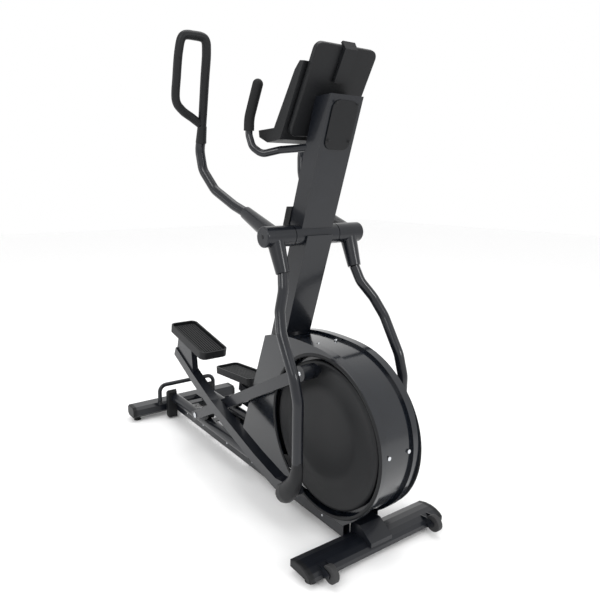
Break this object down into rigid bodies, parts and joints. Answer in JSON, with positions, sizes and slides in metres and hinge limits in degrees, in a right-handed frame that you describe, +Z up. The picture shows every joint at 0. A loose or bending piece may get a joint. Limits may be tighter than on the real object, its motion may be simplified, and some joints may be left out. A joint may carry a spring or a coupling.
{
  "type": "elliptical trainer",
  "caption": "Front-drive elliptical trainer: swinging handle arms, pedals on link arms that roll on rails, enclosed crank and flywheel, leaning mast with console.",
  "frame": {"origin": "middle of the footprint at floor level", "axes": "+X forward, towards the drive housing; +Y to the user's left; +Z up"},
  "size_m": [1.6726, 0.782, 1.813],
  "materials": {
    "satin_black_steel": "satin powder coat",
    "matte_shell": "matte moulded",
    "gloss_shell": "gloss",
    "grip_rubber": "matte",
    "wheel_rubber": "matte",
    "roller_plastic": "matte",
    "zinc_steel": "bright zinc",
    "cast_iron": "cast",
    "screen": "gloss"
  },
  "bodies": {
    "frame": {"base_frame": "satin_black_steel", "belt": "wheel_rubber", "console_back": "matte_shell", "console_front": "matte_shell", "console_keys": "matte_shell", "console_screen": "screen", "drive_mounts": "satin_black_steel", "fixed_handlebar": "satin_black_steel", "front_band": "gloss_shell", "front_stabiliser": "satin_black_steel", "handlebar_grips": "grip_rubber", "housing_screws": "zinc_steel", "left_rail": "satin_black_steel", "left_shroud": "matte_shell", "levelling_feet": "wheel_rubber", "lifting_handle": "satin_black_steel", "lower_mast": "satin_black_steel", "magnet_brake": "cast_iron", "mast_front_cover": "matte_shell", "mast_rear_cover": "matte_shell", "pivot_axle": "zinc_steel", "rail_end_covers": "matte_shell", "rear_stabiliser": "satin_black_steel", "right_rail": "satin_black_steel", "right_shroud": "matte_shell", "stabiliser_caps": "matte_shell", "upper_mast": "satin_black_steel", "wheel_forks": "satin_black_steel"},
    "crank": {"crank_axle": "zinc_steel", "pulley": "roller_plastic", "left_crank_arm": "satin_black_steel", "right_crank_arm": "satin_black_steel", "left_crank_disc": "matte_shell", "right_crank_disc": "matte_shell"},
    "flywheel": {"flywheel": "cast_iron"},
    "tablet_clip": {"tablet_clip": "matte_shell"},
    "left_carriage": {"left_roller_axle": "zinc_steel"},
    "left_roller": {"left_roller": "roller_plastic"},
    "left_link": {"left_link": "satin_black_steel", "left_link_boss": "satin_black_steel"},
    "left_swing": {"left_swing_hub": "satin_black_steel", "left_upper_arm": "satin_black_steel", "left_lower_arm": "satin_black_steel", "left_grip": "matte_shell", "left_boot": "matte_shell"},
    "left_pedal": {"left_pedal_arm": "satin_black_steel", "left_pedal": "matte_shell"},
    "left_transport_wheel": {"left_transport_wheel": "wheel_rubber"},
    "right_carriage": {"right_roller_axle": "zinc_steel"},
    "right_roller": {"right_roller": "roller_plastic"},
    "right_link": {"right_link": "satin_black_steel", "right_link_boss": "satin_black_steel"},
    "right_swing": {"right_swing_hub": "satin_black_steel", "right_upper_arm": "satin_black_steel", "right_lower_arm": "satin_black_steel", "right_grip": "matte_shell", "right_boot": "matte_shell"},
    "right_pedal": {"right_pedal_arm": "satin_black_steel", "right_pedal": "matte_shell"},
    "right_transport_wheel": {"right_transport_wheel": "wheel_rubber"}
  },
  "joints": [
    {"name": "crank_turn", "type": "hinge", "parent": "frame", "child": "crank", "pos_m": [0.54374, 0, 0.3818], "axis": [0, -1, 0], "continuous": true},
    {"name": "flywheel_spin", "type": "hinge", "parent": "frame", "child": "flywheel", "pos_m": [0.69624, 0, 0.4], "axis": [0, -1, 0], "continuous": true},
    {"name": "right_swing_turn", "type": "hinge", "parent": "frame", "child": "right_swing", "pos_m": [0.36024, -0.16, 1.088], "axis": [0, -1, 0], "range_deg": [-15, 15]},
    {"name": "left_swing_turn", "type": "hinge", "parent": "frame", "child": "left_swing", "pos_m": [0.36024, 0.16, 1.088], "axis": [0, -1, 0], "range_deg": [-15, 15]},
    {"name": "right_pedal_pivot", "type": "hinge", "parent": "right_swing", "child": "right_pedal", "pos_m": [0.52224, -0.193, 0.19], "axis": [0, -1, 0], "range_deg": [-15, 15]},
    {"name": "right_carriage_slide", "type": "slide", "parent": "frame", "child": "right_carriage", "axis": [1, 0, 0], "range_m": [-0.23, 0.23]},
    {"name": "right_roller_spin", "type": "hinge", "parent": "right_carriage", "child": "right_roller", "pos_m": [-0.31209, -0.095, 0.1684], "axis": [0, -1, 0], "continuous": true},
    {"name": "right_link_pitch", "type": "hinge", "parent": "right_carriage", "child": "right_link", "pos_m": [-0.31209, -0.148, 0.1684], "axis": [0, -1, 0], "range_deg": [-30, 0]},
    {"name": "right_transport_wheel_spin", "type": "hinge", "parent": "frame", "child": "right_transport_wheel", "pos_m": [0.79424, -0.248, 0.0465], "axis": [0, -1, 0], "continuous": true},
    {"name": "left_pedal_pivot", "type": "hinge", "parent": "left_swing", "child": "left_pedal", "pos_m": [0.52634, 0.193, 0.19075], "axis": [0, -1, 0], "range_deg": [-15, 15]},
    {"name": "left_carriage_slide", "type": "slide", "parent": "frame", "child": "left_carriage", "axis": [1, 0, 0], "range_m": [-0.23, 0.23]},
    {"name": "left_roller_spin", "type": "hinge", "parent": "left_carriage", "child": "left_roller", "pos_m": [-0.36054, 0.095, 0.1684], "axis": [0, -1, 0], "continuous": true},
    {"name": "left_link_pitch", "type": "hinge", "parent": "left_carriage", "child": "left_link", "pos_m": [-0.36054, 0.148, 0.1684], "axis": [0, -1, 0], "range_deg": [0, 25]},
    {"name": "left_transport_wheel_spin", "type": "hinge", "parent": "frame", "child": "left_transport_wheel", "pos_m": [0.79424, 0.248, 0.0465], "axis": [0, -1, 0], "continuous": true},
    {"name": "tablet_clip_slide", "type": "slide", "parent": "frame", "child": "tablet_clip", "axis": [0.4751, 0, 0.88], "range_m": [0, 0.025], "stiffness_N_per_m": 200}
  ],
  "couplings": [
    {"joint": "flywheel_spin", "follows": "crank_turn", "ratio": 7.2222},
    {"joint": "left_swing_turn", "follows": "right_swing_turn", "ratio": -1},
    {"joint": "right_pedal_pivot", "follows": "right_swing_turn", "ratio": -1},
    {"joint": "left_pedal_pivot", "follows": "right_swing_turn", "ratio": 1},
    {"joint": "right_carriage_slide", "follows": "right_swing_turn", "m_per_rad": 0.863},
    {"joint": "left_carriage_slide", "follows": "right_swing_turn", "m_per_rad": -0.863}
  ]
}
